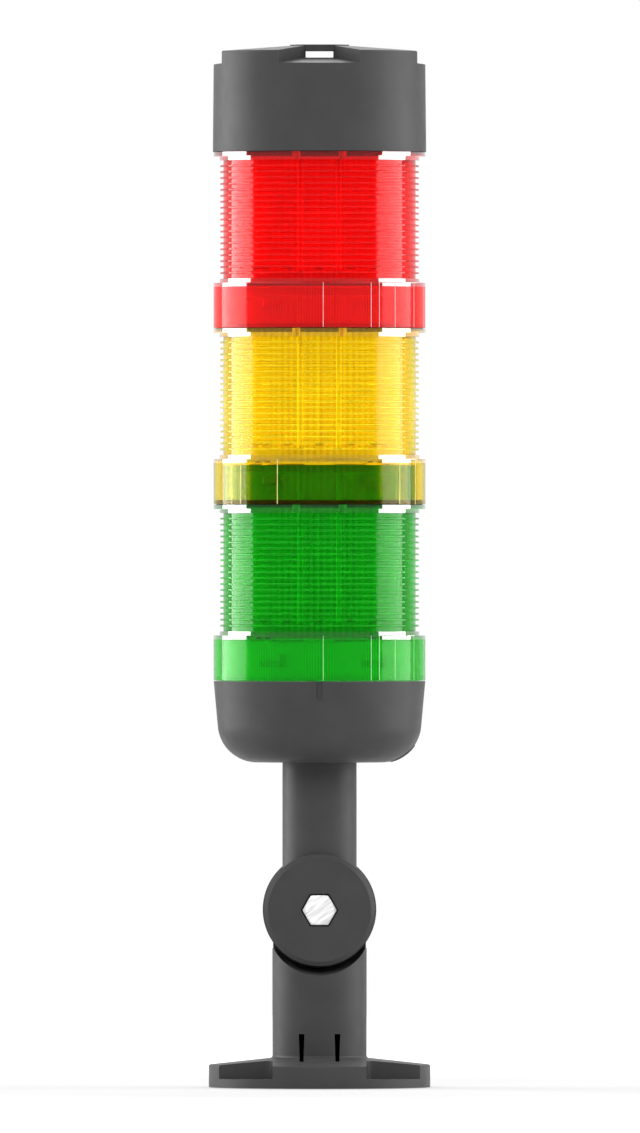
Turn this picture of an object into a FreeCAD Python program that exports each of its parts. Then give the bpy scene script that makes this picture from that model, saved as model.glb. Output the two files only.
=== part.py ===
import FreeCAD, Part
import math
import os
import re
import Sketcher

# A 70 mm signal tower: a foot with a folding joint, a tube arm, a base bowl, three lens modules
# (green, yellow, red from the bottom) and a cap. The tower's axis is Z. The origin is at the middle
# of the foot's underside, the front looks along -Y, and every length is in millimetres.

SIZES = {
    # foot
    "foot_radius": 36.55,
    "foot_rim_height": 7.4,
    "foot_rim_round": 0.6,
    "foot_shoulder_height": 9.7,
    "foot_shoulder_round": 0.8,
    "foot_tube_radius": 15.57,
    "foot_tube_wall": 3.0,
    "cross_half_width": 15.4,
    "notch_floor": 2.9,
    "notch_corner": 2.9,
    "screw_circle_radius": 29.0,
    "screw_hole_radius": 2.75,
    "slot_offset": 5.9,
    "slot_low": 8.6,
    "slot_high": 17.65,
    "slot_low_width": 1.25,
    "slot_high_width": 1.9,
    "slot_front": 26.0,
    # folding joint
    "joint_height": 58.5,
    "joint_gap": 0.4,
    "joint_closing": 24.5,
    "knuckle_depth": 15.0,
    "knuckle_radius": 18.45,
    "knuckle_extra": 0.3,
    "knuckle_edge": 1.45,
    "knuckle_edge_depth": 1.2,
    "saddle_gap": 0.7,
    "saddle_slope": 0.157,
    "saddle_shoulder": 12.7,
    "saddle_overrun": 2.8,
    "chamber_wall": 3.7,
    "chamber_depth": 11.3,
    "boss_radius": 7.6,
    "duct_radius": 4.8,
    "seal_width": 1.6,
    "seal_inset": 1.2,
    "seal_seat": 0.8,
    "seal_clearance": 0.05,
    "bolt_radius": 3.0,
    "bolt_clearance": 0.3,
    "bolt_head_flats": 10.0,
    "bolt_head_height": 4.0,
    "bolt_head_sink": 0.8,
    "nut_height": 5.0,
    "nut_sink": 1.0,
    "nut_bore_clearance": 0.05,
    "hex_clearance": 0.4,
    "head_chamfer": 0.6,
    "head_chamfer_run": 1.8,
    # arm
    "arm_radius": 12.25,
    "arm_wall": 2.5,
    # base
    "base_top": 133.9,
    "bowl_height": 26.8,
    "bowl_top_radius": 34.93,
    "bowl_foot_radius": 32.5,
    "bowl_corner": 12.9,
    "bowl_floor": 3.0,
    "bowl_inner_corner": 10.5,
    "bowl_bore": 31.4,
    "socket_clearance": 0.1,
    "socket_depth": 14.0,
    "socket_wall": 3.1,
    "mark_width": 2.0,
    "mark_length": 6.4,
    "mark_depth": 0.9,
    "plug_radius": 4.9,
    "plug_angle": 56.0,
    "plug_proud": 0.25,
    "plug_length": 4.1,
    "grub_radius": 2.0,
    "grub_length": 5.0,
    "grub_height": 8.0,
    "grub_socket_flats": 2.0,
    "grub_socket_depth": 2.0,
    # bayonet
    "collar_radius": 35.0,
    "collar_height": 14.9,
    "spigot_radius": 31.9,
    "spigot_height": 13.1,
    "lug_depth": 0.85,
    "lug_low": 7.0,
    "lug_height": 2.2,
    "lug_sweep": 11.0,
    "lug_left": 29.0,
    "lug_right": 32.0,
    "bayonet_gap": 0.3,
    "ledge_height": 2.0,
    "ledge_sweep": 14.0,
    "stop_sweep": 3.0,
    "stop_overlap": 0.5,
    "root_overlap": 0.5,
    # lens
    "seam": 0.2,
    "lens_pitch": 58.15,
    "lens_bore": 29.8,
    "flange_height": 1.35,
    "flange_radius": 34.95,
    "band_radius": 33.0,
    "band_height": 1.35,
    "rib_tip_radius": 32.75,
    "rib_root_radius": 31.8,
    "rib_pitch": 1.96,
    "rib_first": 17.94,
    "flute_depth": 0.6,
    "pip_width": 2.4,
    "pip_height": 0.5,
    "pip_radius": 34.6,
    "shoulder_height": 13.9,
    # seals, boards and contacts
    "ring_height": 1.4,
    "ring_shoulder": 0.84,
    "ring_clearance": 0.05,
    "disc_clearance": 0.4,
    "disc_height": 2.2,
    "disc_lift": 0.3,
    "board_inset": 1.6,
    "board_thickness": 1.6,
    "led_ring": 21.0,
    "led_size": 3.0,
    "led_height": 1.2,
    "rod_radius": 0.9,
    "rod_circle": 9.0,
    "pin_radius": 1.0,
    "pin_circle": 22.0,
    "pin_gap": 0.3,
    "track_width": 4.0,
    "track_thickness": 0.4,
    "track_sweep": 36.0,
    "track_lead": 12.5,
    "carrier_flange_radius": 32.6,
    "carrier_flange_height": 2.6,
    "carrier_skirt": 6.0,
    "carrier_clearance": 0.3,
    "carrier_wall": 2.8,
    "block_length": 34.0,
    "block_width": 12.0,
    "entry_depth": 8.4,
    "block_height": 9.5,
    "terminal_pitch": 6.4,
    "terminal_radius": 1.7,
    "terminal_screw_radius": 1.9,
    "terminal_screw_sink": 0.5,
    "terminal_screw_depth": 5.0,
    "screw_slot": 0.6,
    # cap
    "cap_low_radius": 35.22,
    "cap_rim_radius": 34.9,
    "cap_rim_height": 33.15,
    "cap_rim_round": 0.6,
    "cap_cone_height": 34.95,
    "cap_height": 35.3,
    "cap_plateau_radius": 10.9,
    "cap_bore": 32.0,
    "cap_skirt_height": 14.6,
    "cap_ceiling": 26.5,
    "channel_rim_half": 13.2,
    "channel_rim_reach": 31.6,
    "channel_inner_half": 4.86,
    "channel_inner_reach": 9.76,
    "channel_rim_floor": 29.1,
    "channel_inner_floor": 31.0,
    "tunnel_half": 4.55,
    "tunnel_low": 30.95,
    "tunnel_high": 33.35,
    "core_inner": 20.0,
    "core_outer": 30.5,
    "core_top": 30.8,
    "core_sweep": 28.0,
}
# Radii that follow the spigot's: lugs stand out from it, and ledges and collars clear it.
FITS = {
    "lug_radius": "(spigot_radius + lug_depth)",
    "ledge_radius": "(spigot_radius + bayonet_gap)",
    "collar_bore": "(spigot_radius + lug_depth + bayonet_gap)",
}
RIBS = 19
FLUTES = 90
LEDS = 12
TERMINALS = 5
TIERS = ("green", "yellow", "red")

doc = FreeCAD.newDocument("stack_light")
sheet = doc.addObject("Spreadsheet::Sheet", "Sizes")
for row, (word, number) in enumerate(SIZES.items(), 1):
    sheet.set(f"A{row}", word)
    sheet.set(f"B{row}", str(number))
    sheet.setAlias(f"B{row}", word)
doc.recompute()

parts = []


def tied(text):
    """An expression on the sheet's cells and the fits between them, written with bare names."""
    for word, fit in FITS.items():
        text = re.sub(rf"\b{word}\b", fit, text)
    return re.sub(
        r"[a-z_]+", lambda m: "Sizes." + m[0] if m[0] in SIZES else m[0], text
    )


def tie(thing, **texts):
    """Binds properties to expressions; a double underscore stands for a dot."""
    for name, text in texts.items():
        thing.setExpression(name.replace("__", "."), tied(text))


def origin_item(body, role):
    return next(f for f in body.Origin.OriginFeatures if f.Role == role)


def new_body(name):
    body = doc.addObject("PartDesign::Body", name)
    body.AllowCompound = True
    return body


def sketch_on(body, role, at, turn):
    """A sketch on an origin plane, shifted by three expressions and turned about its own second axis."""
    sketch = body.newObject("Sketcher::SketchObject", body.Name + "_sketch")
    sketch.AttachmentSupport = [(origin_item(body, role), "")]
    sketch.MapMode = "FlatFace"
    if turn:
        rotation = FreeCAD.Rotation(FreeCAD.Vector(0, 1, 0), 10)
        sketch.AttachmentOffset = FreeCAD.Placement(FreeCAD.Vector(), rotation)
        tie(sketch, AttachmentOffset__Rotation__Angle=turn)
    for axis, text in zip("xyz", at):
        if text != "0":
            tie(sketch, **{"AttachmentOffset__Base__" + axis: text})
    return sketch


def outline(body, role, points, at=("0", "0", "0"), turn=None):
    """A closed outline whose corners are pairs of expressions."""
    sketch = sketch_on(body, role, at, turn)
    count = len(points)
    ring = [
        FreeCAD.Vector(
            50 + 40 * math.cos(2 * math.pi * i / count),
            50 + 40 * math.sin(2 * math.pi * i / count),
        )
        for i in range(count)
    ]
    for i in range(count):
        sketch.addGeometry(Part.LineSegment(ring[i], ring[(i + 1) % count]))
    rules = [
        Sketcher.Constraint("Coincident", i, 2, (i + 1) % count, 1)
        for i in range(count)
    ]
    ties = {}
    for i, (across, up) in enumerate(points):
        for kind, axis, text in (("DistanceX", -2, across), ("DistanceY", -1, up)):
            if text == "0":
                rules.append(Sketcher.Constraint("PointOnObject", i, 1, axis))
            else:
                start = ring[i].x if kind == "DistanceX" else ring[i].y
                ties[len(rules)] = text
                rules.append(Sketcher.Constraint(kind, -1, 1, i, 1, start))
    sketch.addConstraint(rules)
    for index, text in ties.items():
        sketch.setExpression(f"Constraints[{index}]", tied(text))
    return sketch


def circles(body, role, rounds, at=("0", "0", "0")):
    """Full circles, each given by the expressions of its centre and radius."""
    sketch = sketch_on(body, role, at, None)
    axis = FreeCAD.Vector(0, 0, 1)
    for i, (across, up, radius) in enumerate(rounds):
        centre = FreeCAD.Vector(20 + 10 * i, 20)
        sketch.addGeometry(Part.Circle(centre, axis, 2))
        for kind, line, text in (("DistanceX", -2, across), ("DistanceY", -1, up)):
            if text == "0":
                sketch.addConstraint(Sketcher.Constraint("PointOnObject", i, 3, line))
            else:
                start = centre.x if kind == "DistanceX" else centre.y
                index = sketch.addConstraint(
                    Sketcher.Constraint(kind, -1, 1, i, 3, start)
                )
                sketch.setExpression(f"Constraints[{index}]", tied(text))
        index = sketch.addConstraint(Sketcher.Constraint("Radius", i, 2))
        sketch.setExpression(f"Constraints[{index}]", tied(radius))
    return sketch


def hexagon(flats):
    """The corners of a hexagon with flats above and below, as expressions."""
    corner = f"({flats}) / sqrt(3)"
    return [
        (corner, "0"),
        (f"{corner} / 2", f"({flats}) / 2"),
        (f"-{corner} / 2", f"({flats}) / 2"),
        (f"-{corner}", "0"),
        (f"-{corner} / 2", f"-({flats}) / 2"),
        (f"{corner} / 2", f"-({flats}) / 2"),
    ]


def turned(body, kind, sketch, axis="V_Axis", sweep=None):
    """A Revolution or Groove about one of the sketch's own axes, whole or centred on its plane."""
    feature = body.newObject("PartDesign::" + kind, body.Name + "_" + kind.lower())
    feature.Profile = sketch
    feature.ReferenceAxis = (sketch, [axis])
    feature.Angle = 360
    if sweep:
        feature.Midplane = True
        tie(feature, Angle=sweep)
    doc.recompute()
    return feature


def extruded(body, kind, sketch, length, back=False, middle=False):
    """A Pad or Pocket of a length given by an expression."""
    feature = body.newObject("PartDesign::" + kind, body.Name + "_" + kind.lower())
    feature.Profile = sketch
    feature.Type = "Length"
    feature.Reversed = back
    feature.Midplane = middle
    tie(feature, Length=length)
    doc.recompute()
    return feature


def repeated(body, feature, count, role="Z_Axis"):
    """The feature and its copies, evenly spaced about an origin axis."""
    pattern = body.newObject("PartDesign::PolarPattern", body.Name + "_pattern")
    pattern.Originals = [feature]
    pattern.Axis = (origin_item(body, role), [""])
    pattern.Angle = 360
    pattern.Occurrences = count
    body.Tip = pattern
    doc.recompute()
    return pattern


def mirrored(body, feature, role):
    """The feature and its mirror image in an origin plane."""
    pair = body.newObject("PartDesign::Mirrored", body.Name + "_pair")
    pair.Originals = [feature]
    pair.MirrorPlane = (origin_item(body, role), [""])
    body.Tip = pair
    doc.recompute()
    return pair


def dressed(body, kind, wanted, **texts):
    """A Fillet or Chamfer on the edges of the body's tip that pass a test."""
    base = body.Tip
    names = [
        f"Edge{i}" for i, edge in enumerate(base.Shape.Edges, 1) if wanted(edge)
    ]
    feature = body.newObject("PartDesign::" + kind, body.Name + "_" + kind.lower())
    feature.Base = (base, names)
    tie(feature, **texts)
    doc.recompute()
    return feature


def round_edge(radius, height):
    """A test for the circular edges about Z at a radius and a height."""

    def test(edge):
        curve = edge.Curve
        return (
            isinstance(curve, Part.Circle)
            and abs(curve.Radius - radius) < 0.01
            and abs(curve.Center.z - height) < 0.01
        )

    return test


def upright_edge(across, deep):
    """A test for the straight edges along Z at a distance from both middle planes."""

    def test(edge):
        ends = [vertex.Point for vertex in edge.Vertexes]
        return len(ends) == 2 and all(
            abs(abs(p.x) - across) < 0.01 and abs(abs(p.y) - deep) < 0.01 for p in ends
        )

    return test


def sub_part(name, shape, height="0"):
    """Names a finished sub-part and sets it at its height in the tower."""
    shape.Label = name
    if height != "0":
        tie(shape, Placement__Base__z=height)
    parts.append(shape)


# ---- folding joint: two knuckles that lap at the middle plane and turn on one bolt ----
# side is -1 for the arm's knuckle, in front, and 1 for the foot's, behind.


def knuckle(body, side, radius, height):
    """Clears the other knuckle's half, adds this one and hollows it as a cable chamber."""
    at = ("0", height, "0")
    middle = f"{side} * joint_gap / 2"
    far = "-1 * (foot_tube_radius + 1)" if side > 0 else "foot_tube_radius + 1"
    wide = "knuckle_radius + saddle_gap"
    clear = outline(
        body,
        "YZ_Plane",
        [
            (middle, "0"),
            (middle, wide),
            (far, f"{wide} + saddle_slope * (foot_tube_radius + 1)"),
            (far, "0"),
        ],
        at,
    )
    turned(body, "Groove", clear, "H_Axis")
    disc = outline(
        body,
        "YZ_Plane",
        [
            (middle, "0"),
            (middle, radius),
            (f"{side} * (knuckle_depth - knuckle_edge_depth)", radius),
            (f"{side} * knuckle_depth", f"{radius} - knuckle_edge"),
            (f"{side} * knuckle_depth", "0"),
        ],
        at,
    )
    turned(body, "Revolution", disc, "H_Axis")
    chamber = outline(
        body,
        "YZ_Plane",
        [
            (middle, "boss_radius"),
            (middle, "knuckle_radius - chamber_wall"),
            (f"{side} * chamber_depth", "knuckle_radius - chamber_wall"),
            (f"{side} * chamber_depth", "boss_radius"),
        ],
        at,
    )
    turned(body, "Groove", chamber, "H_Axis")


def bolt_way(body, side, flats, depth, height):
    """The bolt's bore through a knuckle and the hexagonal pocket in its outer face."""
    at = ("0", height, f"{-side} * knuckle_depth")
    bore = circles(
        body, "XZ_Plane", [("0", "0", "bolt_radius + bolt_clearance")], at
    )
    extruded(body, "Pocket", bore, "knuckle_depth", back=side > 0)
    pocket = outline(body, "XZ_Plane", hexagon(flats), at)
    extruded(body, "Pocket", pocket, depth, back=side > 0)


def make_foot():
    """One moulding: cross-shaped flange, tube and rear knuckle."""
    body = new_body("foot_body")
    bore = "foot_tube_radius - foot_tube_wall"
    ceiling = "joint_height - joint_closing"
    section = outline(
        body,
        "XZ_Plane",
        [
            (bore, "0"),
            ("foot_radius", "0"),
            ("foot_radius", "foot_rim_height"),
            ("foot_tube_radius", "foot_shoulder_height"),
            ("foot_tube_radius", "joint_height"),
            ("0", "joint_height"),
            ("0", ceiling),
            (bore, ceiling),
        ],
    )
    turned(body, "Revolution", section)
    rim = round_edge(sheet.foot_radius, sheet.foot_rim_height)
    dressed(body, "Fillet", rim, Radius="foot_rim_round")
    shoulder = round_edge(sheet.foot_tube_radius, sheet.foot_shoulder_height)
    dressed(body, "Fillet", shoulder, Radius="foot_shoulder_round")
    shave = outline(
        body,
        "YZ_Plane",
        [
            ("saddle_overrun", "0"),
            ("saddle_overrun", "-saddle_shoulder"),
            ("-(foot_tube_radius + 1)", "-saddle_shoulder"),
            ("-(foot_tube_radius + 1)", "0"),
        ],
        ("0", "joint_height", "0"),
    )
    extruded(body, "Pocket", shave, "2 * foot_tube_radius + 4", middle=True)
    knuckle(body, 1, "knuckle_radius + knuckle_extra", "joint_height")
    duct_middle = "(joint_gap / 2 + chamber_depth) / 2"
    duct = circles(
        body,
        "XY_Plane",
        [("0", duct_middle, "duct_radius")],
        ("0", "0", f"{ceiling} - 1"),
    )
    chamber_floor = "(boss_radius + knuckle_radius - chamber_wall) / 2"
    extruded(
        body, "Pocket", duct, f"joint_closing + 1 - {chamber_floor}", back=True
    )
    pocket_depth = "nut_height + nut_sink"
    bolt_way(body, 1, "bolt_head_flats + 2 * hex_clearance", pocket_depth, "joint_height")
    seat_outer = "knuckle_radius - seal_inset"
    seat = outline(
        body,
        "YZ_Plane",
        [
            ("joint_gap / 2", f"{seat_outer} - seal_width"),
            ("joint_gap / 2", seat_outer),
            ("joint_gap / 2 + seal_seat", seat_outer),
            ("joint_gap / 2 + seal_seat", f"{seat_outer} - seal_width"),
        ],
        ("0", "joint_height", "0"),
    )
    turned(body, "Groove", seat, "H_Axis")
    notch = outline(
        body,
        "XY_Plane",
        [
            ("cross_half_width", "cross_half_width"),
            ("foot_radius + 1", "cross_half_width"),
            ("foot_radius + 1", "foot_radius + 1"),
            ("cross_half_width", "foot_radius + 1"),
        ],
        ("0", "0", "notch_floor"),
    )
    cut = extruded(body, "Pocket", notch, "foot_shoulder_height", back=True)
    repeated(body, cut, 4)
    corner = upright_edge(sheet.cross_half_width, sheet.cross_half_width)
    dressed(body, "Fillet", corner, Radius="notch_corner")
    diagonal = "screw_circle_radius / sqrt(2)"
    hole = circles(
        body,
        "XY_Plane",
        [(diagonal, diagonal, "screw_hole_radius")],
        ("0", "0", "foot_rim_height"),
    )
    drilled = extruded(body, "Pocket", hole, "foot_rim_height + 1")
    repeated(body, drilled, 4)
    slot = outline(
        body,
        "XZ_Plane",
        [
            ("slot_offset - slot_low_width / 2", "slot_low"),
            ("slot_offset + slot_low_width / 2", "slot_low"),
            ("slot_offset + slot_high_width / 2", "slot_high"),
            ("slot_offset - slot_high_width / 2", "slot_high"),
        ],
        ("0", "0", "slot_front"),
    )
    right = extruded(body, "Pocket", slot, f"slot_front - ({bore}) + 3")
    mirrored(body, right, "YZ_Plane")
    sub_part("foot", body)


def make_arm():
    """One moulding: tube and front knuckle, with its own origin on the joint's axis."""
    body = new_body("arm_body")
    bore = "arm_radius - arm_wall"
    length = "base_top - bowl_height + socket_depth - joint_height"
    section = outline(
        body,
        "XZ_Plane",
        [
            ("0", "0"),
            ("arm_radius", "0"),
            ("arm_radius", length),
            (bore, length),
            (bore, "joint_closing"),
            ("0", "joint_closing"),
        ],
    )
    turned(body, "Revolution", section)
    knuckle(body, -1, "knuckle_radius", "0")
    duct_middle = "-(joint_gap / 2 + chamber_depth) / 2"
    duct = circles(
        body,
        "XY_Plane",
        [("0", duct_middle, "duct_radius")],
        ("0", "0", "joint_closing + 1"),
    )
    chamber_floor = "(boss_radius + knuckle_radius - chamber_wall) / 2"
    extruded(body, "Pocket", duct, f"joint_closing + 1 - {chamber_floor}")
    head_depth = "bolt_head_height + bolt_head_sink"
    bolt_way(body, -1, "bolt_head_flats + 2 * hex_clearance", head_depth, "0")
    sub_part("arm", body, "joint_height")


def make_joint_seal():
    """A flat ring in the foot's knuckle that keeps water out of the cable chamber."""
    body = new_body("joint_seal_body")
    outer = "knuckle_radius - seal_inset - seal_clearance"
    inner = "knuckle_radius - seal_inset - seal_width + seal_clearance"
    section = outline(
        body,
        "YZ_Plane",
        [
            ("-joint_gap / 2 + seal_clearance", inner),
            ("-joint_gap / 2 + seal_clearance", outer),
            ("joint_gap / 2 + seal_seat", outer),
            ("joint_gap / 2 + seal_seat", inner),
        ],
    )
    turned(body, "Revolution", section, "H_Axis")
    sub_part("joint_seal", body, "joint_height")


def make_hinge_bolt():
    """An M6 hexagon bolt; its head lies in the arm's pocket and its shank runs towards +Y."""
    body = new_body("hinge_bolt_body")
    face = "knuckle_depth - bolt_head_sink"
    head = outline(body, "XZ_Plane", hexagon("bolt_head_flats"), ("0", "0", face))
    extruded(body, "Pad", head, "bolt_head_height", back=True)
    crown = outline(
        body,
        "YZ_Plane",
        [
            (f"-({face})", "bolt_head_flats / 2 - head_chamfer / 2"),
            (f"-({face})", "bolt_head_flats"),
            (f"-({face}) + head_chamfer_run", "bolt_head_flats"),
        ],
    )
    turned(body, "Groove", crown, "H_Axis")
    shank = circles(
        body,
        "XZ_Plane",
        [("0", "0", "bolt_radius")],
        ("0", "0", f"{face} - bolt_head_height"),
    )
    extruded(
        body,
        "Pad",
        shank,
        f"{face} - bolt_head_height + knuckle_depth - nut_sink / 2",
        back=True,
    )
    sub_part("hinge_bolt", body, "joint_height")


def make_hinge_nut():
    """An M6 hexagon nut in the foot's pocket; its bore clears the bolt, with no thread cut."""
    body = new_body("hinge_nut_body")
    seat = "knuckle_depth - nut_sink - nut_height"
    face = outline(
        body, "XZ_Plane", hexagon("bolt_head_flats"), ("0", "0", f"-({seat})")
    )
    extruded(body, "Pad", face, "nut_height", back=True)
    outer = "knuckle_depth - nut_sink"
    crown = outline(
        body,
        "YZ_Plane",
        [
            (outer, "bolt_head_flats / 2 - head_chamfer / 2"),
            (outer, "bolt_head_flats"),
            (f"{outer} - head_chamfer_run", "bolt_head_flats"),
        ],
    )
    turned(body, "Groove", crown, "H_Axis")
    bore = circles(
        body,
        "XZ_Plane",
        [("0", "0", "bolt_radius + nut_bore_clearance")],
        ("0", "0", f"-({seat} - 1)"),
    )
    extruded(body, "Pocket", bore, "nut_height + 2")
    sub_part("hinge_nut", body, "joint_height")


# ---- base ----


def make_base_housing():
    """A bowl with a socket for the arm, an index mark at the front and a hole for the side plug."""
    body = new_body("bowl_body")
    bore = "arm_radius + socket_clearance"
    sleeve = "arm_radius + socket_wall"
    section = outline(
        body,
        "XZ_Plane",
        [
            (bore, "0"),
            ("bowl_foot_radius", "0"),
            ("bowl_top_radius", "bowl_height"),
            ("bowl_bore", "bowl_height"),
            ("bowl_bore", "bowl_floor"),
            (sleeve, "bowl_floor"),
            (sleeve, "socket_depth"),
            (bore, "socket_depth"),
        ],
    )
    turned(body, "Revolution", section)
    dressed(
        body, "Fillet", round_edge(sheet.bowl_foot_radius, 0), Radius="bowl_corner"
    )
    dressed(
        body,
        "Fillet",
        round_edge(sheet.bowl_bore, sheet.bowl_floor),
        Radius="bowl_inner_corner",
    )
    front = "bowl_top_radius + 1"
    deep = "mark_depth + 1"
    end = "bowl_height - mark_length + mark_width / 2"
    mark = outline(
        body,
        "XZ_Plane",
        [
            ("-mark_width / 2", end),
            ("mark_width / 2", end),
            ("mark_width / 2", "bowl_height + 1"),
            ("-mark_width / 2", "bowl_height + 1"),
        ],
        ("0", "0", front),
    )
    extruded(body, "Pocket", mark, deep)
    mark_end = circles(
        body, "XZ_Plane", [("0", end, "mark_width / 2")], ("0", "0", front)
    )
    extruded(body, "Pocket", mark_end, deep)
    grub = circles(
        body,
        "YZ_Plane",
        [("0", "grub_height", "grub_radius")],
        ("0", "0", "arm_radius"),
    )
    tapped = extruded(body, "Pocket", grub, "socket_wall + 1", back=True)
    repeated(body, tapped, 2)
    hole = plug_cylinder("plug_hole", "plug_radius + socket_clearance")
    housing = doc.addObject("Part::Cut", "base_housing_cut")
    housing.Base = body
    housing.Tool = hole
    sub_part("base_housing", housing, "base_top - bowl_height")


def corner_circle():
    """The radius from Z of the middle of the bowl's corner rounding, which touches floor and wall."""
    lean = "atan((bowl_top_radius - bowl_foot_radius) / bowl_height)"
    return f"(bowl_foot_radius - bowl_corner * tan(45 deg - {lean} / 2))"


def plug_cylinder(name, radius):
    """A cylinder square to the bowl's rounded corner, on the tower's right-hand side."""
    cylinder = doc.addObject("Part::Cylinder", name)
    lean = FreeCAD.Rotation(FreeCAD.Vector(0, 1, 0), 146)
    cylinder.Placement = FreeCAD.Placement(FreeCAD.Vector(), lean)
    start = "(bowl_corner + plug_proud - plug_length)"
    tie(
        cylinder,
        Radius=radius,
        Height="plug_length + 3",
        Placement__Rotation__Angle="90 + plug_angle",
        Placement__Base__x=f"{corner_circle()} + {start} * cos(plug_angle)",
        Placement__Base__z=f"bowl_corner - {start} * sin(plug_angle)",
    )
    return cylinder


def make_side_plug():
    """A blanking plug in the bowl's corner, a little proud, with the corner's own curve on its face."""
    ring = doc.addObject("Part::Torus", "plug_face")
    tie(
        ring,
        Radius1=corner_circle(),
        Radius2="bowl_corner + plug_proud",
        Placement__Base__z="bowl_corner",
    )
    plug = doc.addObject("Part::Common", "side_plug_common")
    plug.Base = ring
    plug.Tool = plug_cylinder("plug_stem", "plug_radius")
    sub_part("side_plug", plug, "base_top - bowl_height")


def make_tube_screws():
    """Two grub screws with hexagon sockets that clamp the arm in the bowl's socket."""
    body = new_body("tube_screws_body")
    shank = circles(
        body,
        "YZ_Plane",
        [("0", "grub_height", "grub_radius - ring_clearance")],
        ("0", "0", "arm_radius"),
    )
    repeated(body, extruded(body, "Pad", shank, "grub_length"), 2)
    socket = outline(
        body,
        "YZ_Plane",
        hexagon("grub_socket_flats"),
        ("0", "grub_height", "arm_radius + grub_length"),
    )
    repeated(body, extruded(body, "Pocket", socket, "grub_socket_depth"), 2)
    sub_part("tube_screws", body, "base_top - bowl_height")


# ---- bayonet, shared by the base carrier, the lenses and the cap ----
# The lugs stand on a spigot at two angles either side of the front and again at the back. The part
# above has a ledge under each lug and a stop beside it, and comes free when turned 20 degrees
# anticlockwise, seen from the top.


def ring_piece(body, kind, inner, outer, low, high, turn, sweep, count):
    """A piece of ring about Z between two radii and two heights, repeated about the axis."""
    section = outline(
        body,
        "XZ_Plane",
        [(inner, low), (outer, low), (outer, high), (inner, high)],
        turn=turn,
    )
    piece = turned(body, kind, section, sweep=sweep)
    return repeated(body, piece, count)


def lug_turns():
    """Turns from +X to each lug in front of the tower; the pattern adds those behind."""
    return ("-90 - lug_left", "-90 + lug_right")


def add_lugs(body, seat):
    """The spigot's lugs, above a seat plane at a height given by an expression."""
    for turn in lug_turns():
        ring_piece(
            body,
            "Revolution",
            "spigot_radius - root_overlap",
            "lug_radius",
            f"{seat} + lug_low",
            f"{seat} + lug_low + lug_height",
            turn,
            "lug_sweep",
            2,
        )


def add_ledges(body):
    """The ledges that hold under the lugs of the part below, and the stops beside them."""
    ledge_top = "lug_low - seam - bayonet_gap"
    for turn in lug_turns():
        ring_piece(
            body,
            "Revolution",
            "ledge_radius",
            "collar_bore + root_overlap",
            f"{ledge_top} - ledge_height",
            ledge_top,
            turn,
            "ledge_sweep",
            2,
        )
        ring_piece(
            body,
            "Revolution",
            "ledge_radius",
            "collar_bore + root_overlap",
            f"{ledge_top} - ledge_height",
            f"{ledge_top} + lug_height",
            f"{turn} + ledge_sweep / 2 + stop_sweep / 2 - stop_overlap",
            "stop_sweep",
            2,
        )


def make_base_carrier():
    """The insulating neck in the bowl that the lowest module is twisted on to."""
    body = new_body("base_carrier_body")
    skirt = "bowl_bore - carrier_clearance"
    inner = "spigot_radius - carrier_wall"
    section = outline(
        body,
        "XZ_Plane",
        [
            (inner, "-carrier_skirt"),
            (skirt, "-carrier_skirt"),
            (skirt, "0"),
            ("carrier_flange_radius", "0"),
            ("carrier_flange_radius", "carrier_flange_height"),
            ("spigot_radius", "carrier_flange_height"),
            ("spigot_radius", "spigot_height"),
            ("0", "spigot_height"),
            ("0", "spigot_height - disc_height"),
            (inner, "spigot_height - disc_height"),
        ],
    )
    turned(body, "Revolution", section)
    add_lugs(body, "0")
    sub_part("base_carrier", body, "base_top")


def contact_tracks(name, height):
    """Four flat contact tracks on a disc whose top is at a height."""
    body = new_body(name)
    turned_to = "-45 + track_lead"
    ring_piece(
        body,
        "Revolution",
        "pin_circle - track_width / 2",
        "pin_circle + track_width / 2",
        height,
        f"{height} + track_thickness",
        turned_to,
        "track_sweep",
        4,
    )
    return body


def make_terminals():
    """The screw terminals for the mains lead, under the carrier's top plate."""
    block = new_body("terminal_block_body")
    half_length = "block_length / 2"
    half_width = "block_width / 2"
    top = "spigot_height - disc_height"
    section = outline(
        block,
        "XY_Plane",
        [
            (f"-{half_length}", f"-{half_width}"),
            (half_length, f"-{half_width}"),
            (half_length, half_width),
            (f"-{half_length}", half_width),
        ],
        ("0", "0", f"{top} - block_height"),
    )
    extruded(block, "Pad", section, "block_height")
    places = [
        f"{i - (TERMINALS - 1) / 2} * terminal_pitch" for i in range(TERMINALS)
    ]
    low = f"{top} - block_height"
    entries = circles(
        block,
        "XZ_Plane",
        [(x, f"{top} - block_height / 2", "terminal_radius") for x in places],
        ("0", "0", half_width),
    )
    extruded(block, "Pocket", entries, "entry_depth")
    wells = circles(
        block,
        "XY_Plane",
        [(x, "0", "terminal_screw_radius + carrier_clearance") for x in places],
        ("0", "0", low),
    )
    extruded(block, "Pocket", wells, "terminal_screw_depth", back=True)
    sub_part("terminal_block", block, "base_top")
    screws = new_body("terminal_screws_body")
    heads = circles(
        screws,
        "XY_Plane",
        [(x, "0", "terminal_screw_radius") for x in places],
        ("0", "0", f"{low} + terminal_screw_sink"),
    )
    extruded(screws, "Pad", heads, "terminal_screw_depth - terminal_screw_sink")
    for x in places:
        slot = outline(
            screws,
            "XY_Plane",
            [
                (f"{x} - screw_slot / 2", "-terminal_screw_radius - 1"),
                (f"{x} + screw_slot / 2", "-terminal_screw_radius - 1"),
                (f"{x} + screw_slot / 2", "terminal_screw_radius + 1"),
                (f"{x} - screw_slot / 2", "terminal_screw_radius + 1"),
            ],
            ("0", "0", f"{low} + terminal_screw_sink"),
        )
        extruded(screws, "Pocket", slot, "screw_slot", back=True)
    sub_part("terminal_screws", screws, "base_top")


# ---- lens module, built once at its own origin and set on each tier ----


def lens_top():
    return "(lens_pitch - seam)"


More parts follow.
